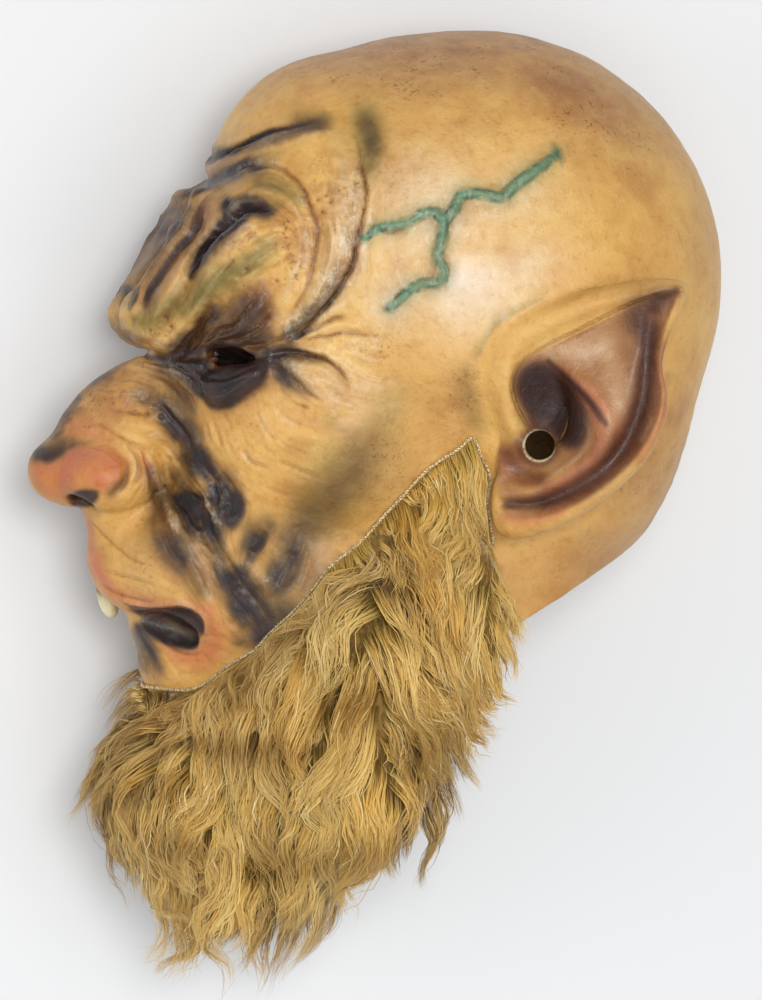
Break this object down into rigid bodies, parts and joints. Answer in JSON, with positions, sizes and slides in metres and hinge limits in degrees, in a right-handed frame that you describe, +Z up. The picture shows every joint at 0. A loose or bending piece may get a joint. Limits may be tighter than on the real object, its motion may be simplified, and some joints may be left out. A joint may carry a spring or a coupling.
{
  "type": "monster mask",
  "caption": "Full-head latex monster mask with heavy folded brow, pointed ears, snub nose and a fur beard, lying on its side.",
  "frame": {"origin": "on the surface it lies on, under the middle of its bounding box", "axes": "+Y from the beard to the crown, +X to the back of the head, +Z up, out of the wearer's left side, which lies uppermost"},
  "size_m": [0.2909, 0.3994, 0.2024],
  "materials": {
    "painted_latex": "satin, ochre with dark brushed paint in the folds, pink nose and ear bowls, green veins",
    "golden_fur": "long wavy golden pile on a cream knitted backing",
    "ivory_tooth": "glossy ivory, brown at the root",
    "fur_backing": "cut knitted edge"
  },
  "bodies": {
    "root": {"latex_mask": "painted_latex", "fur_beard": "golden_fur"}
  },
  "joints": []
}
